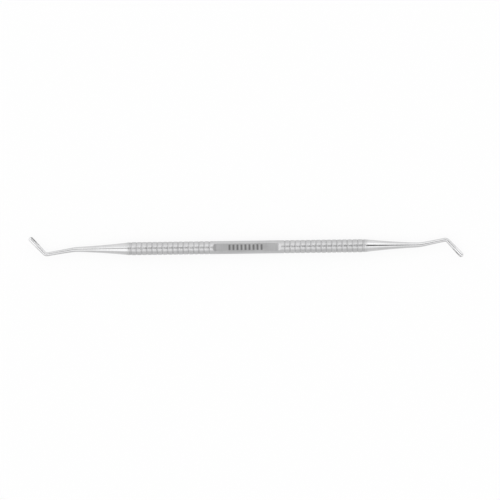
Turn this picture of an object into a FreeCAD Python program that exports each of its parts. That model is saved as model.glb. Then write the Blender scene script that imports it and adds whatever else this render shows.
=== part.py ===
import FreeCAD, Part
from FreeCAD import Placement, Rotation, Vector
from math import cos, radians, sin, sqrt
import os

# A double-ended pedicure curette, turned, bent and ground from one stainless steel rod.
# Millimetres. +X runs along the handle, +Z points up from the surface it lies on.
# The left end is the right one turned half a turn about the Z axis. Each shank is bent
# by hand, so its run and its slight bend are a little different.

# Handle: round bar with two runs of ring grooves and a plain middle
handle_radius = 2.5
first_groove_x = 14.5
groove_pitch = 2.0
groove_count = 16
groove_width = 0.6
groove_depth = 0.17
groove_flank = 0.14

# Relief turned between the last groove and the taper
relief_length = 0.55
relief_depth = 0.11
relief_step = 0.06

# Milled flat that carries the marking
flat_half_length = 13.2
flat_depth = 0.49
flat_cutter_radius = 2.4

# Concave taper down to the thin shank
taper_length = 30.0
taper_drop = 0.04
shank_radius = 0.77

# Shank: a slight bend, a straight run and a sharp elbow
bend_start = 19.2
bend_radius = 20.0
left_bend_angle = 9.1
right_bend_angle = 11.0
left_shank_run = 9.15
right_shank_run = 7.7
elbow_radius = 1.5

# Blade: an oval bar that slants back across the handle's line and widens to a blunt tip
blade_angle = 47.1
blade_length = 8.2
blade_half_width = 1.04
blade_half_depth = 0.93
tip_length = 0.93

# Spoon: a ground face with a long hollow, turned towards the inside of the elbow
spoon_tilt = 67.0
face_drop = 0.28
face_length = 4.9
face_cutter_radius = 3.0
rim_width = 0.12
hollow_length = 4.2

# Spacing of the lofted sections: along a run, round a bend, and round the tip
section_step = 1.0
section_turn = 8.0
tip_angles = (15, 30, 45, 58, 69, 78, 85)
section_points = 24
join_tolerance = 0.001

# Places and sizes worked out from the ones above
taper_radius_start = handle_radius - taper_drop
last_groove_x = first_groove_x + (groove_count - 1) * groove_pitch
relief_end_x = last_groove_x + groove_width / 2 + relief_length
taper_x = relief_end_x + relief_step
bend_x = taper_x + bend_start
blade_run = blade_length - tip_length
face_height = blade_half_depth - face_drop
face_share = sqrt(1 - (face_height / blade_half_depth) ** 2)


def taper_radius(distance):
    """Radius of the taper, a parabola, at a distance from its thick end."""
    left = max(0.0, 1.0 - distance / taper_length)
    return shank_radius + (taper_radius_start - shank_radius) * left ** 2


def groove_points(centre):
    """Outline of one ring groove, from its near edge to its far edge."""
    half = groove_width / 2
    floor = handle_radius - groove_depth
    return [
        Vector(centre - half, 0, handle_radius),
        Vector(centre - half + groove_flank, 0, floor),
        Vector(centre + half - groove_flank, 0, floor),
        Vector(centre + half, 0, handle_radius),
    ]


def grip_points():
    """Outline of the grooved grip, from its first groove to the start of the taper."""
    points = []
    for index in range(groove_count):
        points += groove_points(first_groove_x + index * groove_pitch)
    relief_radius = handle_radius - relief_depth
    points[-1] = Vector(last_groove_x + groove_width / 2, 0, relief_radius)
    points.append(Vector(relief_end_x, 0, relief_radius))
    points.append(Vector(taper_x, 0, taper_radius_start))
    return points


def taper_edge(side):
    """The taper as a curve with one inner pole, which makes an exact parabola."""
    share = bend_start / taper_length
    inner = taper_radius_start - share * (taper_radius_start - shank_radius)
    curve = Part.BezierCurve()
    curve.setPoles([
        Vector(side * taper_x, 0, taper_radius_start),
        Vector(side * (taper_x + bend_start / 2), 0, inner),
        Vector(side * bend_x, 0, taper_radius(bend_start)),
    ])
    return curve.toShape()


def turned_bar():
    """Everything made on the lathe: the handle and both tapers, up to the bends."""
    right = grip_points()
    left = [Vector(-point.x, 0, point.z) for point in reversed(right)]
    points = left + right
    edges = [Part.makeLine(a, b) for a, b in zip(points, points[1:])]
    edges += [taper_edge(-1), taper_edge(1)]
    end_radius = taper_radius(bend_start)
    ends = [
        Vector(bend_x, 0, end_radius),
        Vector(bend_x, 0, 0),
        Vector(-bend_x, 0, 0),
        Vector(-bend_x, 0, end_radius),
    ]
    edges += [Part.makeLine(a, b) for a, b in zip(ends, ends[1:])]
    face = Part.Face(Part.Wire(Part.__sortEdges__(edges)))
    return face.revolve(Vector(0, 0, 0), Vector(1, 0, 0), 360)


def slot_cutter(start, end, bottom, radius, half_width):
    """What a round cutter sweeps as it moves along X: its ends are round, its floor flat."""
    corner = Vector(start, -half_width, bottom)
    block = Part.makeBox(end - start, 2 * half_width, 2 * radius, corner)
    rounds = []
    for x in (start, end):
        base = Vector(x, -half_width, bottom + radius)
        rounds.append(Part.makeCylinder(radius, 2 * half_width, base, Vector(0, 1, 0)))
    return block.multiFuse(rounds)


def run_out(radius, depth):
    """Length over which a round cutter leaves a surface that it cuts to a depth."""
    return sqrt(2 * radius * depth - depth ** 2)


def marking_flat_cutter():
    reach = flat_half_length - run_out(flat_cutter_radius, flat_depth)
    bottom = handle_radius - flat_depth
    return slot_cutter(-reach, reach, bottom, flat_cutter_radius, handle_radius)


def heading_vector(heading):
    return Vector(cos(radians(heading)), sin(radians(heading)), 0)


def straight_run(start, heading, length):
    """Sections along a straight run, each as place, heading and distance gone."""
    count = max(1, round(length / section_step))
    steps = [length * (index + 1) / count for index in range(count)]
    return [(start + heading_vector(heading) * gone, heading, gone) for gone in steps]


def round_bend(start, heading, radius, turn):
    """Sections round a bend, each as place, heading and distance gone."""
    count = max(2, round(abs(turn) / section_turn))
    side = 1 if turn > 0 else -1
    centre = start + heading_vector(heading + side * 90) * radius
    sections = []
    for index in range(count):
        swept = turn * (index + 1) / count
        arm = heading_vector(heading + swept - side * 90) * radius
        sections.append((centre + arm, heading + swept, radius * radians(abs(swept))))
    return sections


def after(last, sections):
    """The same sections, with the distance gone counted from the handle."""
    return [(place, heading, last[2] + gone) for place, heading, gone in sections]


def centre_line(bend_angle, shank_run):
    """Sections from the start of the bend to the start of the rounded tip."""
    line = [(Vector(bend_x, 0, 0), 0.0, bend_start)]
    line += after(line[-1], round_bend(*line[-1][:2], bend_radius, bend_angle))
    line += after(line[-1], straight_run(*line[-1][:2], shank_run))
    elbow_turn = -bend_angle - blade_angle
    line += after(line[-1], round_bend(*line[-1][:2], elbow_radius, elbow_turn))
    line += after(line[-1], straight_run(*line[-1][:2], blade_run))
    return line


def spoon_frame(place, heading):
    """Local axes: X towards the tip, Y across the spoon, Z out of its hollow."""
    along = heading_vector(heading)
    inside = heading_vector(heading - 90)
    across = Vector(0, 0, 1) * sin(radians(spoon_tilt)) - inside * cos(radians(spoon_tilt))
    return Placement(place, Rotation(along, across, along.cross(across), "ZXY"))


def ring_poles(place, heading, half_width, half_depth):
    """Poles of an oval section as a smooth closed curve that starts straight above."""
    points = []
    for index in range(section_points):
        angle = radians(90 - spoon_tilt + 360 * index / section_points)
        points.append(Vector(0, half_width * cos(angle), half_depth * sin(angle)))
    curve = Part.BSplineCurve()
    steps = [index / section_points for index in range(section_points + 1)]
    curve.interpolate(Points=points, PeriodicFlag=True, Parameters=steps)
    curve.transform(spoon_frame(place, heading).toMatrix())
    return curve


def skin(rings, distances):
    """A surface through closed section curves, placed by their distances along the bar."""
    columns = []
    for poles in zip(*[ring.getPoles() for ring in rings]):
        column = Part.BSplineCurve()
        column.interpolate(Points=list(poles), Parameters=distances)
        columns.append(column)
    lengthwise, around = columns[0], rings[0]
    surface = Part.BSplineSurface()
    surface.buildFromPolesMultsKnots(
        [list(poles) for poles in zip(*[column.getPoles() for column in columns])],
        lengthwise.getMultiplicities(),
        around.getMultiplicities(),
        lengthwise.getKnots(),
        around.getKnots(),
        False,
        True,
        lengthwise.Degree,
        around.Degree,
    )
    return surface.toShape()


def bent_bar(bend_angle, shank_run):
    """Shank and blade, skinned over round and then oval sections, and the tip's frame."""
    line = centre_line(bend_angle, shank_run)
    place, heading, whole = line[-1]
    rings = []
    distances = []
    for spot, turned, gone in line:
        radius = taper_radius(gone)
        share = max(0.0, 1 - (whole - gone) / blade_run)
        half_width = radius + (blade_half_width - radius) * share
        half_depth = radius + (blade_half_depth - radius) * share
        rings.append(ring_poles(spot, turned, half_width, half_depth))
        distances.append(gone)

    # The blunt tip closes in along a quarter of an ellipse
    for angle in tip_angles:
        size = cos(radians(angle))
        gone = tip_length * sin(radians(angle))
        spot = place + heading_vector(heading) * gone
        rings.append(ring_poles(spot, heading, blade_half_width * size, blade_half_depth * size))
        distances.append(whole + tip_length * radians(angle))
    side = skin(rings, distances)
    caps = [Part.Face(Part.Wire([ring.toShape()])) for ring in (rings[0], rings[-1])]
    shell = Part.Shell([side] + caps)
    shell.sewShape(join_tolerance)
    return Part.Solid(shell), spoon_frame(place, heading)


def face_cutter():
    """Grinds the flat face of the spoon, in the axes of spoon_frame."""
    start = tip_length - face_length + run_out(face_cutter_radius, face_drop)
    end = tip_length + face_cutter_radius
    width = 2 * blade_half_width
    return slot_cutter(start, end, face_height, face_cutter_radius, width)


def hollow_cutter():
    """Rim of the small grinding wheel that sinks the hollow, in the axes of spoon_frame."""
    half_width = blade_half_width * face_share - rim_width
    half_length = hollow_length / 2
    wheel_radius = (half_length ** 2 + half_width ** 2) / (2 * half_width)
    end = tip_length * face_share - rim_width
    centre = Vector(end - half_length, 0, face_height - half_width + wheel_radius)
    return Part.makeTorus(wheel_radius - half_width, half_width, centre, Vector(0, 1, 0))


def working_end(bend_angle, shank_run):
    """One end, from the start of the bend to the tip, with its ground spoon."""
    bar, at_tip = bent_bar(bend_angle, shank_run)
    for cutter in (face_cutter(), hollow_cutter()):
        cutter.Placement = at_tip.multiply(cutter.Placement)
        bar = bar.cut(cutter)
    return bar


def curette():
    right_end = working_end(right_bend_angle, right_shank_run)
    left_end = working_end(left_bend_angle, left_shank_run)
    left_end.rotate(Vector(0, 0, 0), Vector(0, 0, 1), 180)
    middle = turned_bar().cut(marking_flat_cutter())
    body = middle.multiFuse([right_end, left_end], join_tolerance)
    body.translate(Vector(0, 0, handle_radius))
    return body.Solids[0]


os.makedirs("parts", exist_ok=True)
curette().exportStep("parts/curette.step")
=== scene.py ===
import bpy
import numpy as np
from math import acos, cos, degrees, pi, radians, sin, sqrt
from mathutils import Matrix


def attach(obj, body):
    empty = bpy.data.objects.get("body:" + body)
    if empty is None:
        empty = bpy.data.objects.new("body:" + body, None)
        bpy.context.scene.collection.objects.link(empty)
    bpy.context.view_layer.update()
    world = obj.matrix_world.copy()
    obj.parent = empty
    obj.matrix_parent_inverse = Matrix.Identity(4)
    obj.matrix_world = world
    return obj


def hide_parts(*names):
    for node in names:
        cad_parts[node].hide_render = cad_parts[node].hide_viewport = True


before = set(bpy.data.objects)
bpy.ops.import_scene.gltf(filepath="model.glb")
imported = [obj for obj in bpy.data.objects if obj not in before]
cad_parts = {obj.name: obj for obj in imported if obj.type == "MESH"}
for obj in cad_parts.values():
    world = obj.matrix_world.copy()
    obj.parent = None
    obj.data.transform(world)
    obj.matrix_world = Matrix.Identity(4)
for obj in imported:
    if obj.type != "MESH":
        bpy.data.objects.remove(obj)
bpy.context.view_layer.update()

# Lengths are millimetres in the curette's own axes, as in the solid: +X along the handle,
# +Z up, the bar's axis at Z = 0. The finished mesh is scaled to metres and lifted.
METRES = 0.001

# Handle and its ring grooves
HANDLE_RADIUS = 2.5
FIRST_GROOVE_X = 14.5
GROOVE_PITCH = 2.0
GROOVE_COUNT = 16
GROOVE_DEPTH = 0.17
LAST_GROOVE_X = FIRST_GROOVE_X + (GROOVE_COUNT - 1) * GROOVE_PITCH

# One groove from its centre outwards: distance, share of its depth, and wear of its soft edge
GROOVE_SIDE = ((0.0, 1.0, 0.0), (0.1, 1.0, 0.0), (0.15, 0.965, 0.0), (0.185, 0.85, 0.0),
               (0.24, 0.5, 0.0), (0.288, 0.19, 1.0), (0.325, 0.04, 1.0), (0.37, 0.0, 0.0))

# Plain sections between one groove and the next, as distances from the first one's centre
PAD_STATIONS = (0.69, 1.0, 1.31)

# The last groove opens into the relief, which ends in a step up to the taper: distance from
# the groove's centre, depth, share of a groove's roughness and painted shade, and wear
LAST_GROOVE_REACH = 0.2
RELIEF_SIDE = ((0.27, 0.11, 0.6, 0.0), (0.42, 0.11, 0.6, 0.0), (0.6, 0.11, 0.6, 0.0),
               (0.8, 0.11, 0.6, 0.0), (0.85, 0.105, 0.5, 0.0), (0.89, 0.06, 0.1, 1.0),
               (0.94, 0.042, 0.0, 1.0))

# Flat for the marking, milled by a round cutter
FLAT_HALF_LENGTH = 13.2
FLAT_DEPTH = 0.49
FLAT_CUTTER_RADIUS = 2.4

# Taper and shank
TAPER_X = 45.41
TAPER_LENGTH = 30.0
TAPER_START_RADIUS = 2.46
SHANK_RADIUS = 0.77
BEND_START = 19.2
BEND_RADIUS = 20.0
ELBOW_RADIUS = 1.5

# Left and right shanks: angle of the slight bend, and length of the straight run
LEFT_SHANK = (9.1, 9.15)
RIGHT_SHANK = (11.0, 7.7)

# Blade, blunt tip and spoon, and the length over which the spoon end's painted highlight begins
BLADE_ANGLE = 47.1
BLADE_RUN = 7.27
BLADE_HALF_WIDTH = 1.04
BLADE_HALF_DEPTH = 0.93
TIP_LENGTH = 0.93
SPOON_TILT = 67.0
FACE_HEIGHT = 0.65
FACE_LENGTH = 4.9
FACE_CUTTER_RADIUS = 3.0
RIM_WIDTH = 0.12
HOLLOW_LENGTH = 4.2
SPOON_HIGHLIGHT_BLEND = 1.2

# Points of a section, and how many of them cross half of a cut face and half of its hollow
RING_POINTS = 88
HALF_RING = RING_POINTS // 2
FACE_POINTS = 11
HOLLOW_POINTS = 8
POINT_ANGLE = 360.0 / RING_POINTS

# Angle from a section's middle to the edge of its face: the least one, and the one at which
# the section's points are even. They become even over a length past the end of a face, or
# at the tip from a place just before that end.
LEAST_EDGE = 20.0
EVEN_EDGE = FACE_POINTS * POINT_ANGLE
EDGE_BLEND = 0.8
TIP_BLEND_START = 0.6

# Least and most of a face's half width that its hollow takes, and how much has to be cut
# off a point for it to count as ground
HOLLOW_SHARES = (0.25, 0.93)
GROUND_MARGIN = 0.002

# Spacing of the sections in millimetres, and in degrees round the bends and the tip. Each
# span has its end and its spacing: the middle's is closest at the run-out of the flat. The
# taper's sections start past its turned edge.
MIDDLE_SPANS = ((11.7, 0.45), (13.26, 0.06), (14.0, 0.25))
TAPER_FIRST = 0.08
TAPER_STEP = 0.45
BEND_STEP = 1.2
SHANK_STEP = 0.4
ELBOW_STEP = 3.6
BLADE_STEP = 0.11
TIP_SPANS = ((45.0, 5.0), (87.0, 6.0))

# Edges of the mesh that are sharper than this angle aren't smoothed
SHARP_ANGLE = 30.0

# Camera: straight above and a little turned, as in the photograph. What it sees starts and
# ends at a distance in metres.
VIEW_TURN = -0.7528
VIEW_CENTRE = (1.12, -1.09)
VIEW_WIDTH = 192.5
VIEW_DISTANCE = 800.0
SENSOR_WIDTH = 36.0
VIEW_START = 0.01
VIEW_END = 100.0

# Laser-marked bars with soft edges, kept to the upper side by a least height
BAR_PITCH = 1.54
BAR_HALF_WIDTH = 0.36
BAR_HALF_HEIGHT = 1.05
BAR_EDGE = 0.03
BAR_ROW_CENTRE = -0.6
BAR_ROW_HALF_LENGTH = 7.3
BAR_LEAST_Z = 1.9

# Steel, and how far from the handle's middle its polished part and its blade begin
STEEL_COLOUR = (0.62, 0.62, 0.625)
POLISH_START = (45.3, 47.0)
BLADE_START = (77.0, 79.0)

# Patterns of the steel: scale, detail and stretch. The turning marks go round the bar and
# the grain goes along it.
PATTERNS = {
    "turned": (7.0, 3.0, (1.0, 0.04, 0.04)),
    "grain": (14.0, 2.0, (0.35, 1.0, 1.0)),
    "cloud": (0.3, 1.0, (0.6, 1.0, 1.0)),
    "speck": (5.5, 4.0, (1.0, 1.0, 1.0)),
}

# What the masks and patterns do: each one's range, and its effect at both ends of the range.
# The tones multiply the colour, and the roughnesses add up.
TONES = (
    ("cloud", (0.3, 0.7), (0.97, 1.03)),
    ("polish", (0.0, 1.0), (1.0, 1.14)),
    ("turned", (0.3, 0.7), (0.97, 1.03)),
    ("speck", (0.62, 0.75), (1.0, 0.96)),
    # Painted shade: the grooves' colour is darkened, on top of their rougher finish.
    ("groove", (0.2, 1.0), (1.0, 0.86)),
    ("wear", (0.0, 1.0), (1.0, 1.05)),
    # Painted highlight: the colour of the spoon end is brightened.
    ("spoon_highlight", (0.0, 1.0), (1.0, 1.2)),
    # Painted shade: each spoon's cut face and hollow are darkened, on top of their rougher
    # ground finish.
    ("ground", (0.0, 1.0), (1.0, 0.62)),
    ("mark", (0.0, 1.0), (1.0, 0.36)),
)
ROUGHNESSES = (
    ("cloud", (0.3, 0.7), (0.35, 0.38)),
    ("polish", (0.0, 1.0), (0.0, -0.24)),
    ("blade", (0.0, 1.0), (0.0, 0.17)),
    ("groove", (0.2, 1.0), (0.0, 0.08)),
    ("wear", (0.0, 1.0), (0.0, -0.05)),
)
GROUND_ROUGHNESS = 0.08
MARK_ROUGHNESS = 0.2

# Relief of the steel: shares of the turning marks and the grain, strength, and height in metres
TURNED_RELIEF = 0.7
GRAIN_RELIEF = 0.3
RELIEF_STRENGTH = 0.12
RELIEF_HEIGHT = 0.00002

# Floor, in metres: how much of it is plain white to the camera and in the steel, and how
# bright the steel shows it on the near and far side, which meet over a strip. The near side's
# darker level is a painted shadow of the curette, seen only in the steel.
WHITE = (1.0, 1.0, 1.0, 1.0)
PAPER = (0.96, 0.96, 0.96, 1.0)
FLOOR_HALF_WIDTH = 20.0
CAMERA_SHARE = 0.87
STEEL_SHARE = 0.75
NEAR_SHADE = 0.7
FAR_WHITE = 0.97
STRIP_HALF_WIDTH = 0.03

# Light tent: its level by direction along Y, and two soft boxes with their strengths, which
# fade in between two cosines of the angle to their middles
TENT_LEVELS = ((-1.0, 0.7), (-0.8, 0.82), (-0.6, 1.0), (-0.35, 1.2), (0.0, 1.15),
               (0.3, 1.14), (0.5, 1.16), (0.7, 1.03), (1.0, 0.95))
SOFT_BOXES = (((0.27, 0.5, 0.82), 0.28), ((-0.3, -0.38, 0.87), 0.26))
BOX_FADE = (0.82, 0.97)

# Dark gap in the tent: its middle along Y, its soft edge, and by direction along X its half
# widths and how dark it is
GAP_CENTRE = 0.09
GAP_EDGE = 0.05
GAP_HALF_WIDTHS = ((-1.0, 0.19), (-0.25, 0.2), (-0.14, 0.27), (0.0, 0.18), (0.08, 0.19),
                   (0.15, 0.28), (0.22, 0.22), (1.0, 0.2))
GAP_DEPTHS = ((-0.45, 0.0), (-0.25, 0.45), (-0.1, 0.85), (0.35, 0.95), (0.7, 0.85), (1.0, 0.5))


def run_out(radius, depth):
    """Length over which a round cutter leaves a surface that it cuts to a depth."""
    return sqrt(2 * radius * depth - depth ** 2)


def cut_level(off, floor, radius):
    """Height that a round cutter leaves at a distance past its flat floor, if it cuts there."""
    if off >= radius:
        return None
    return floor + radius - sqrt(radius ** 2 - max(0.0, off) ** 2)


def taper_radius(distance):
    """Radius of the taper, a parabola, at a distance from its thick end."""
    left = max(0.0, 1.0 - distance / TAPER_LENGTH)
    return SHANK_RADIUS + (TAPER_START_RADIUS - SHANK_RADIUS) * left ** 2


def spaced(start, end, spacing):
    """Numbers after start up to end, about one spacing apart."""
    count = max(1, round(abs(end - start) / spacing))
    return [start + (end - start) * (index + 1) / count for index in range(count)]


def spaced_spans(spans):
    """Numbers after 0 through spans, each given by its end and its spacing."""
    numbers = []
    start = 0.0
    for end, spacing in spans:
        numbers += spaced(start, end, spacing)
        start = end
    return numbers


def heading_vector(heading):
    """Unit vector in a heading, which is counted from +X towards +Y."""
    return np.array([cos(radians(heading)), sin(radians(heading)), 0.0])


def station(place, heading, gone, half_width, half_depth, **facts):
    """One section of the bar: where it is, where it points, how far along it lies, and its size.

    Its centre is the angle from straight up to the middle of a cut face. The face has its
    level and the angle to its edge, and the hollow its place along the spoon.
    """
    made = dict(place=np.array(place, float), heading=heading, gone=gone, half_width=half_width,
                half_depth=half_depth, centre=0.0, level=None, edge=None, hollow=None,
                groove=0.0, wear=0.0, spoon_highlight=0.0)
    made.update(facts)
    return made


def plain_profile(places):
    """The bar at its full radius at places along it, in the form of handle_profile."""
    return [(x, HANDLE_RADIUS, 0.0, 0.0) for x in places]


def groove_profile(centre):
    """One groove with soft edges: place along X, radius, groove share and edge wear."""
    sides = [(-off, share, wear) for off, share, wear in reversed(GROOVE_SIDE[1:])]
    sides += list(GROOVE_SIDE)
    return [(centre + off, HANDLE_RADIUS - GROOVE_DEPTH * share, share, wear)
            for off, share, wear in sides]


def handle_profile():
    """Right half of the turned bar: place along X, radius, groove share and edge wear."""
    profile = plain_profile(spaced_spans(MIDDLE_SPANS))
    for index in range(GROOVE_COUNT - 1):
        centre = FIRST_GROOVE_X + index * GROOVE_PITCH
        profile += groove_profile(centre)
        profile += plain_profile([centre + off for off in PAD_STATIONS])
    last_end = LAST_GROOVE_X + LAST_GROOVE_REACH
    profile += [facts for facts in groove_profile(LAST_GROOVE_X) if facts[0] < last_end]
    profile += [(LAST_GROOVE_X + off, HANDLE_RADIUS - depth, share, wear)
                for off, depth, share, wear in RELIEF_SIDE]
    profile += [(TAPER_X + gone, taper_radius(gone), 0.0, 0.0)
                for gone in spaced(TAPER_FIRST, BEND_START, TAPER_STEP)]
    return profile


def blended_edge(gap):
    """Angle to a section's edge point, at a gap past the end of a face."""
    share = min(1.0, max(0.0, gap / EDGE_BLEND))
    return LEAST_EDGE + (EVEN_EDGE - LEAST_EDGE) * share


def face_edge(level, half_depth):
    """Angle from the middle of a face at a level to its edge."""
    return degrees(acos(min(1.0, level / half_depth)))


def flat_facts(x):
    """What the marking flat cuts from the handle at a place along it, for its station."""
    reach = FLAT_HALF_LENGTH - run_out(FLAT_CUTTER_RADIUS, FLAT_DEPTH)
    level = cut_level(abs(x) - reach, HANDLE_RADIUS - FLAT_DEPTH, FLAT_CUTTER_RADIUS)
    if level is None or level >= HANDLE_RADIUS:
        return dict(edge=blended_edge(abs(x) - FLAT_HALF_LENGTH))
    return dict(level=level, edge=max(LEAST_EDGE, face_edge(level, HANDLE_RADIUS)))


def handle_stations():
    """Sections of the whole turned bar, from the left bend to the right one."""
    right = handle_profile()
    left = [(-x, radius, groove, wear) for x, radius, groove, wear in reversed(right)]
    middle = left + plain_profile([0.0]) + right
    return [station((x, 0, 0), 0.0, x, radius, radius, groove=groove, wear=wear, **flat_facts(x))
            for x, radius, groove, wear in middle]


def bend(last, radius, turn, spacing):
    """Place, heading and distance gone of points round a bend, after the last such point."""
    start, heading, gone = last
    side = 1 if turn > 0 else -1
    centre = start + heading_vector(heading + side * 90) * radius
    points = []
    for swept in spaced(0.0, turn, spacing):
        arm = heading_vector(heading + swept - side * 90) * radius
        travelled = radius * radians(abs(swept))
        points.append((centre + arm, heading + swept, gone + travelled))
    return points


def run(last, length, spacing):
    """Place, heading and distance gone of points straight on from the last such point."""
    start, heading, gone = last
    way = heading_vector(heading)
    return [(start + way * far, heading, gone + far) for far in spaced(0.0, length, spacing)]


def hollow_facts():
    """Radius of the hollow's section, of the wheel's circle, and the wheel's centre."""
    share = sqrt(1 - (FACE_HEIGHT / BLADE_HALF_DEPTH) ** 2)
    half_width = BLADE_HALF_WIDTH * share - RIM_WIDTH
    half_length = HOLLOW_LENGTH / 2
    wheel = (half_length ** 2 + half_width ** 2) / (2 * half_width)
    centre_x = TIP_LENGTH * share - RIM_WIDTH - half_length
    return half_width, wheel - half_width, centre_x, FACE_HEIGHT - half_width + wheel


def hollow_edge(x, level):
    """Half the width of the hollow where it meets the face, or 0 where there is none."""
    half_width, circle, centre_x, centre_z = hollow_facts()
    reach = sqrt((x - centre_x) ** 2 + (centre_z - level) ** 2) - circle
    if abs(reach) >= half_width:
        return 0.0
    return sqrt(half_width ** 2 - reach ** 2)


def hollow_floor(x, across):
    """Height of the hollow's floor at a point of the face."""
    half_width, circle, centre_x, centre_z = hollow_facts()
    tube = circle + sqrt(max(0.0, half_width ** 2 - across ** 2))
    return centre_z - sqrt(tube ** 2 - (x - centre_x) ** 2)


def spoon_facts(x, half_depth):
    """What is cut from the blade at a place along it, counted from the tip's start."""
    face_start = TIP_LENGTH - FACE_LENGTH
    # The painted highlight on the spoon end fades in from the start of the face.
    facts = dict(centre=SPOON_TILT, spoon_highlight=min(1.0, max(0.0, (x - face_start) / SPOON_HIGHLIGHT_BLEND)))
    floor_start = face_start + run_out(FACE_CUTTER_RADIUS, BLADE_HALF_DEPTH - FACE_HEIGHT)
    level = cut_level(floor_start - x, FACE_HEIGHT, FACE_CUTTER_RADIUS)
    if level is None or level >= half_depth:
        facts["edge"] = blended_edge(face_start - x if x < 0 else x - TIP_BLEND_START)
        return facts
    facts["level"] = level
    facts["edge"] = max(LEAST_EDGE, face_edge(level, half_depth))
    if hollow_edge(x, level) > 0.0:
        facts["hollow"] = x
    return facts


def blade_stations(points):
    """Sections of the blade, which starts round at the first point and ends oval."""
    start = points[0][2]
    stations = []
    for place, heading, gone in points[1:]:
        far = gone - start
        radius = taper_radius(gone)
        half_width = radius + (BLADE_HALF_WIDTH - radius) * far / BLADE_RUN
        half_depth = radius + (BLADE_HALF_DEPTH - radius) * far / BLADE_RUN
        facts = spoon_facts(far - BLADE_RUN, half_depth)
        stations.append(station(place, heading, TAPER_X + gone, half_width, half_depth, **facts))
    return stations


def tip_stations(last):
    """Sections of the blunt tip, which closes in along a quarter of an ellipse."""
    start, heading, gone = last
    stations = []
    for angle in spaced_spans(TIP_SPANS):
        far = TIP_LENGTH * sin(radians(angle))
        half_width = BLADE_HALF_WIDTH * cos(radians(angle))
        half_depth = BLADE_HALF_DEPTH * cos(radians(angle))
        place = start + heading_vector(heading) * far
        along = TAPER_X + gone + far
        facts = spoon_facts(far, half_depth)
        stations.append(station(place, heading, along, half_width, half_depth, **facts))
    return stations


def end_stations(bend_angle, shank_run):
    """Sections of one end, from just past the start of its bend to the tip."""
    line = [(np.array([TAPER_X + BEND_START, 0.0, 0.0]), 0.0, BEND_START)]
    line += bend(line[-1], BEND_RADIUS, bend_angle, BEND_STEP)
    line += run(line[-1], shank_run, SHANK_STEP)
    line += bend(line[-1], ELBOW_RADIUS, -bend_angle - BLADE_ANGLE, ELBOW_STEP)
    stations = []
    for place, heading, gone in line[1:]:
        radius = taper_radius(gone)
        stations.append(station(place, heading, TAPER_X + gone, radius, radius))
    blade = [line[-1]] + run(line[-1], BLADE_RUN, BLADE_STEP)
    return stations + blade_stations(blade) + tip_stations(blade[-1])


def face_point(made, count):
    """Across and out of a point on the cut face, counted from the face's middle."""
    level = made["level"]
    edge = made["half_width"] * sqrt(max(0.0, 1 - (level / made["half_depth"]) ** 2))
    if made["hollow"] is None:
        return edge * count / FACE_POINTS, level
    least, most = HOLLOW_SHARES
    rim = max(min(hollow_edge(made["hollow"], level), edge * most), edge * least)
    if count > HOLLOW_POINTS:
        share = (count - HOLLOW_POINTS) / (FACE_POINTS - HOLLOW_POINTS)
        return rim + (edge - rim) * share, level
    across = rim * sin(pi / 2 * count / HOLLOW_POINTS)
    return across, min(level, hollow_floor(made["hollow"], across))


def ring_angle(edge, count):
    """Angle from a section's middle to one of its points."""
    if edge is None:
        return count * POINT_ANGLE
    if count <= FACE_POINTS:
        return edge * count / FACE_POINTS
    share = (count - FACE_POINTS) / (HALF_RING - FACE_POINTS)
    return edge + (180 - edge) * share


def ring_point(made, count):
    """Across and out of one of a section's points, and whether it is ground."""
    angle = radians(ring_angle(made["edge"], count))
    across = made["half_width"] * sin(angle)
    out = made["half_depth"] * cos(angle)
    level = made["level"]
    if level is None:
        return across, out, 0.0
    ground = made["centre"] > 0.0 and out > level + GROUND_MARGIN
    if count <= FACE_POINTS and face_edge(level, made["half_depth"]) >= LEAST_EDGE:
        across, out = face_point(made, count)
    return across, min(out, level), float(ground)


def ring(made):
    """A section's points as offsets inside the elbow and up, and which of them are ground."""
    tilt = radians(made["centre"])
    middle = round(made["centre"] / POINT_ANGLE)
    points = []
    ground = []
    for index in range(RING_POINTS):
        count = (index - middle + HALF_RING) % RING_POINTS - HALF_RING
        across, out, cut = ring_point(made, abs(count))
        if count >= 0:
            across = -across
        inside = out * sin(tilt) - across * cos(tilt)
        up = out * cos(tilt) + across * sin(tilt)
        points.append((inside, up))
        ground.append(cut)
    return np.array(points), np.array(ground)


def solid_ring(made, side):
    """A section's points, where they lie on the bar before it is bent, and which are ground."""
    offsets, ground = ring(made)
    if side < 0:
        mirrored = -np.arange(RING_POINTS) % RING_POINTS
        offsets, ground = offsets[mirrored], ground[mirrored]
    inside = heading_vector(made["heading"] - 90)
    up = np.array([0.0, 0.0, 1.0])
    points = made["place"] + offsets[:, :1] * inside + offsets[:, 1:] * up
    if side < 0:
        points = points * np.array([-1.0, -1.0, 1.0])
    along = np.full(RING_POINTS, side * made["gone"])
    straight = np.stack([along, -side * offsets[:, 0], offsets[:, 1]], axis=1)
    return points, straight, ground


def curette_sections():
    """Every section from the left tip to the right one: its point arrays and its facts."""
    stations = [(made, -1) for made in reversed(end_stations(*LEFT_SHANK))]
    stations += [(made, 1) for made in handle_stations() + end_stations(*RIGHT_SHANK)]
    return [(*solid_ring(made, side), made) for made, side in stations]


def curette_faces(rings):
    """Faces from each section to the next, and a fan of triangles over each end."""
    around = np.arange(RING_POINTS)
    after = (around + 1) % RING_POINTS
    band = np.stack([around, around + RING_POINTS, after + RING_POINTS, after], axis=1)
    faces = []
    for index in range(rings - 1):
        faces += (band + index * RING_POINTS).tolist()
    end = (rings - 1) * RING_POINTS
    first = rings * RING_POINTS
    faces += [(first, int(a), int(b)) for a, b in zip(around, after)]
    faces += [(first + 1, int(end + b), int(end + a)) for a, b in zip(around, after)]
    return faces


def with_ends(arrays):
    """The sections' rows as one array, with the middle of each end section after them."""
    middles = [arrays[0].mean(axis=0), arrays[-1].mean(axis=0)]
    return np.concatenate([*arrays, middles])


def add_vertex_data(mesh, name, kind, field, values):
    layer = mesh.attributes.new(name=name, type=kind, domain="POINT")
    layer.data.foreach_set(field, np.asarray(values, float).ravel())


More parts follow.
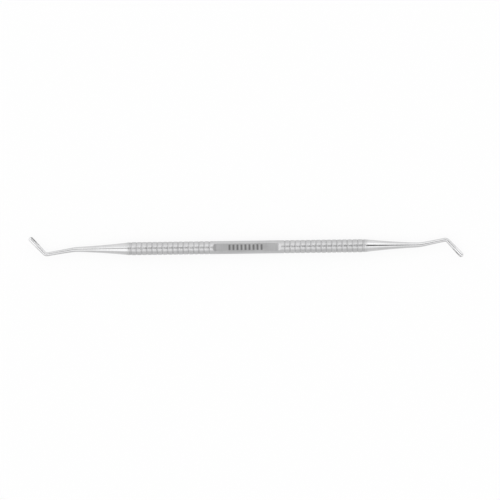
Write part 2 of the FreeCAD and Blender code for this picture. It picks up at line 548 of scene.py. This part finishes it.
def build_curette():
    """The whole curette as one smooth mesh, with what the material needs on its points."""
    sections = curette_sections()
    points = with_ends([section[0] for section in sections])
    lifted = (points + np.array([0.0, 0.0, HANDLE_RADIUS])) * METRES
    mesh = bpy.data.meshes.new("curette_steel")
    mesh.from_pydata(lifted.tolist(), [], curette_faces(len(sections)))
    straight = with_ends([section[1] for section in sections])
    add_vertex_data(mesh, "straight", "FLOAT_VECTOR", "vector", straight)
    ground = np.concatenate([section[2] for section in sections])
    add_vertex_data(mesh, "ground", "FLOAT", "value", np.append(ground, [0.0, 0.0]))
    for name in ("groove", "wear", "spoon_highlight"):
        values = np.repeat([section[3][name] for section in sections], RING_POINTS)
        add_vertex_data(mesh, name, "FLOAT", "value", np.append(values, [0.0, 0.0]))
    mesh.polygons.foreach_set("use_smooth", [True] * len(mesh.polygons))
    mesh.set_sharp_from_angle(angle=radians(SHARP_ANGLE))
    mesh.validate()
    body = bpy.data.objects.new("curette_steel", mesh)
    bpy.context.scene.collection.objects.link(body)
    return body


class Graph:
    """Adds nodes to a node tree. An input is a number or colour, or a socket to link."""

    def __init__(self, owner):
        owner.use_nodes = True
        self.tree = owner.node_tree
        self.tree.nodes.clear()

    def add(self, kind, inputs=None, **settings):
        node = self.tree.nodes.new(kind)
        for name, value in settings.items():
            setattr(node, name, value)
        for name, value in (inputs or {}).items():
            socket = node.inputs[name]
            if isinstance(value, bpy.types.NodeSocket):
                self.tree.links.new(value, socket)
            else:
                socket.default_value = value
        return node

    def math(self, operation, *values):
        inputs = dict(enumerate(values))
        return self.add("ShaderNodeMath", inputs, operation=operation).outputs[0]

    def product(self, first, *others):
        for other in others:
            first = self.math("MULTIPLY", first, other)
        return first

    def vector(self, operation, inputs):
        return self.add("ShaderNodeVectorMath", inputs, operation=operation).outputs

    def ramp(self, value, low, high, to_low=0.0, to_high=1.0, smooth=True):
        """The value spread from one range to another, held at its ends."""
        kind = "SMOOTHSTEP" if smooth else "LINEAR"
        inputs = {"Value": value, "From Min": low, "From Max": high,
                  "To Min": to_low, "To Max": to_high}
        node = self.add("ShaderNodeMapRange", inputs, interpolation_type=kind)
        return node.outputs["Result"]

    def curve(self, value, points):
        """The value, from -1 to 1, read off a line through points: each a place and a level.

        A colour ramp goes from 0 to 1, so it holds the places and levels at half size.
        """
        place = self.math("MULTIPLY_ADD", value, 0.5, 0.5)
        node = self.add("ShaderNodeValToRGB", {"Fac": place})
        line = node.color_ramp
        while len(line.elements) < len(points):
            line.elements.new(1.0)
        for element, (at, level) in zip(line.elements, points):
            element.position = at / 2 + 0.5
            element.color = (level / 2, level / 2, level / 2, 1.0)
        return self.math("MULTIPLY", node.outputs["Color"], 2.0)

    def noise(self, place, scale, detail, stretch):
        scaled = self.vector("MULTIPLY", {0: place, 1: stretch})[0]
        inputs = {"Vector": scaled, "Scale": scale, "Detail": detail}
        return self.add("ShaderNodeTexNoise", inputs).outputs["Fac"]

    def attribute(self, name, output="Fac"):
        return self.add("ShaderNodeAttribute", attribute_name=name).outputs[output]

    def split(self, place):
        return self.add("ShaderNodeSeparateXYZ", {"Vector": place}).outputs


def marking_mask(graph, x, y, z):
    """A plain row of equal laser-marked bars on the flat, in place of any marking."""
    x = graph.math("SUBTRACT", x, BAR_ROW_CENTRE)
    step = graph.math("ROUND", graph.math("DIVIDE", x, BAR_PITCH))
    nearest = graph.math("MULTIPLY", step, BAR_PITCH)
    off = graph.math("ABSOLUTE", graph.math("SUBTRACT", x, nearest))
    height = graph.math("ABSOLUTE", y)
    bar = graph.ramp(off, BAR_HALF_WIDTH + BAR_EDGE, BAR_HALF_WIDTH - BAR_EDGE)
    tall = graph.ramp(height, BAR_HALF_HEIGHT + BAR_EDGE, BAR_HALF_HEIGHT - BAR_EDGE)
    within = graph.math("LESS_THAN", graph.math("ABSOLUTE", x), BAR_ROW_HALF_LENGTH)
    top = graph.math("GREATER_THAN", z, BAR_LEAST_Z)
    return graph.product(bar, tall, within, top)


def steel_masks(graph):
    """Where the steel has each kind of surface, and the patterns that cover all of it."""
    straight = graph.attribute("straight", "Vector")
    x, y, z = graph.split(straight)[:3]
    far = graph.math("ABSOLUTE", x)
    masks = {name: graph.attribute(name) for name in ("groove", "wear", "spoon_highlight", "ground")}
    masks["polish"] = graph.ramp(far, *POLISH_START)
    masks["blade"] = graph.ramp(far, *BLADE_START)
    masks["mark"] = marking_mask(graph, x, y, z)
    for name, (scale, detail, stretch) in PATTERNS.items():
        masks[name] = graph.noise(straight, scale, detail, stretch)
    return masks


def combined(graph, operation, masks, effects):
    """The effects of masks put together by an operation, in their order."""
    levels = [graph.ramp(masks[name], *spread, *ends) for name, spread, ends in effects]
    total = levels[0]
    for level in levels[1:]:
        total = graph.math(operation, total, level)
    return total


def steel_material():
    """Stainless steel: satin on the handle, brighter towards the ends, rougher in the grooves.
    Painted shade darkens the grooves and the spoons' cut faces, and a painted highlight
    brightens the spoon ends.
    """
    material = bpy.data.materials.new("steel")
    graph = Graph(material)
    masks = steel_masks(graph)
    tone = combined(graph, "MULTIPLY", masks, TONES)
    colour = graph.vector("SCALE", {0: STEEL_COLOUR, "Scale": tone})[0]
    roughness = combined(graph, "ADD", masks, ROUGHNESSES)
    roughness = graph.math("MULTIPLY_ADD", masks["ground"], GROUND_ROUGHNESS, roughness)
    roughness = graph.math("MULTIPLY_ADD", masks["mark"], MARK_ROUGHNESS, roughness)
    grain = graph.math("MULTIPLY", masks["grain"], GRAIN_RELIEF)
    relief = graph.math("MULTIPLY_ADD", masks["turned"], TURNED_RELIEF, grain)
    bump = graph.add("ShaderNodeBump", {
        "Height": relief, "Strength": RELIEF_STRENGTH, "Distance": RELIEF_HEIGHT})
    surface = graph.add("ShaderNodeBsdfPrincipled", {
        "Base Color": colour, "Roughness": roughness, "Metallic": 1.0,
        "Normal": bump.outputs[0]})
    graph.add("ShaderNodeOutputMaterial", {"Surface": surface.outputs[0]})
    return material


def floor_material():
    """White floor that keeps the curette's shadow. The steel sees it white on the far side and
    darker on the near side, a painted shadow.
    """
    material = bpy.data.materials.new("floor")
    graph = Graph(material)
    path = graph.add("ShaderNodeLightPath").outputs
    to_camera = graph.math("MULTIPLY", path["Is Camera Ray"], CAMERA_SHARE)
    to_steel = graph.math("MULTIPLY", path["Is Glossy Ray"], STEEL_SHARE)
    share = graph.math("MAXIMUM", to_camera, to_steel)
    place = graph.add("ShaderNodeNewGeometry").outputs["Position"]
    # Painted shadow: in the steel the floor's near side shows darker than its far side.
    shade_in_steel = graph.ramp(graph.split(place)[1], -STRIP_HALF_WIDTH, STRIP_HALF_WIDTH,
                          NEAR_SHADE, FAR_WHITE, smooth=False)
    strength = graph.math("MAXIMUM", path["Is Camera Ray"], shade_in_steel)
    paper = graph.add("ShaderNodeBsdfDiffuse", {"Color": PAPER})
    white = graph.add("ShaderNodeEmission", {"Color": WHITE, "Strength": strength})
    mixed = graph.add("ShaderNodeMixShader", {
        0: share, 1: paper.outputs[0], 2: white.outputs[0]})
    graph.add("ShaderNodeOutputMaterial", {"Surface": mixed.outputs[0]})
    return material


def gap_level(graph, x, y, z):
    """How dark the tent's gap is in a direction. It fades out to the left, and isn't below."""
    off = graph.math("ABSOLUTE", graph.math("SUBTRACT", y, GAP_CENTRE))
    outside = graph.math("SUBTRACT", off, graph.curve(x, GAP_HALF_WIDTHS))
    across = graph.ramp(outside, GAP_EDGE, -GAP_EDGE)
    above = graph.math("GREATER_THAN", z, 0.0)
    return graph.product(across, graph.curve(x, GAP_DEPTHS), above)


def studio_world():
    """A light tent with soft boxes and a dark gap, which the camera itself sees as white."""
    world = bpy.data.worlds.new("studio")
    graph = Graph(world)
    way = graph.add("ShaderNodeTexCoord").outputs["Generated"]
    x, y, z = graph.split(way)[:3]
    level = graph.curve(y, TENT_LEVELS)
    for middle, strength in SOFT_BOXES:
        near = graph.vector("DOT_PRODUCT", {0: way, 1: middle})["Value"]
        level = graph.math("ADD", level, graph.ramp(near, *BOX_FADE, 0.0, strength))
    lit = graph.math("SUBTRACT", 1.0, gap_level(graph, x, y, z))
    level = graph.math("MULTIPLY", level, lit)
    to_camera = graph.add("ShaderNodeLightPath").outputs["Is Camera Ray"]
    level = graph.math("MULTIPLY_ADD", level, graph.math("SUBTRACT", 1.0, to_camera), to_camera)
    sky = graph.add("ShaderNodeBackground", {"Color": WHITE, "Strength": level})
    graph.add("ShaderNodeOutputWorld", {"Surface": sky.outputs[0]})
    return world


def add_floor():
    half = FLOOR_HALF_WIDTH
    corners = [(-half, -half, 0), (half, -half, 0), (half, half, 0), (-half, half, 0)]
    mesh = bpy.data.meshes.new("floor")
    mesh.from_pydata(corners, [], [(0, 1, 2, 3)])
    mesh.materials.append(floor_material())
    floor = bpy.data.objects.new("floor", mesh)
    bpy.context.scene.collection.objects.link(floor)


def add_camera():
    data = bpy.data.cameras.new("camera")
    data.sensor_width = SENSOR_WIDTH
    data.lens = SENSOR_WIDTH * VIEW_DISTANCE / VIEW_WIDTH
    data.clip_start = VIEW_START
    data.clip_end = VIEW_END
    camera = bpy.data.objects.new("camera", data)
    height = VIEW_DISTANCE + HANDLE_RADIUS
    camera.location = [value * METRES for value in (*VIEW_CENTRE, height)]
    camera.rotation_euler = (0.0, 0.0, radians(VIEW_TURN))
    bpy.context.scene.collection.objects.link(camera)
    bpy.context.scene.camera = camera


body = build_curette()
body.data.materials.append(steel_material())
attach(body, "root")
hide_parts("curette")
add_floor()
add_camera()
bpy.context.scene.world = studio_world()
bpy.context.scene.view_settings.view_transform = "Standard"
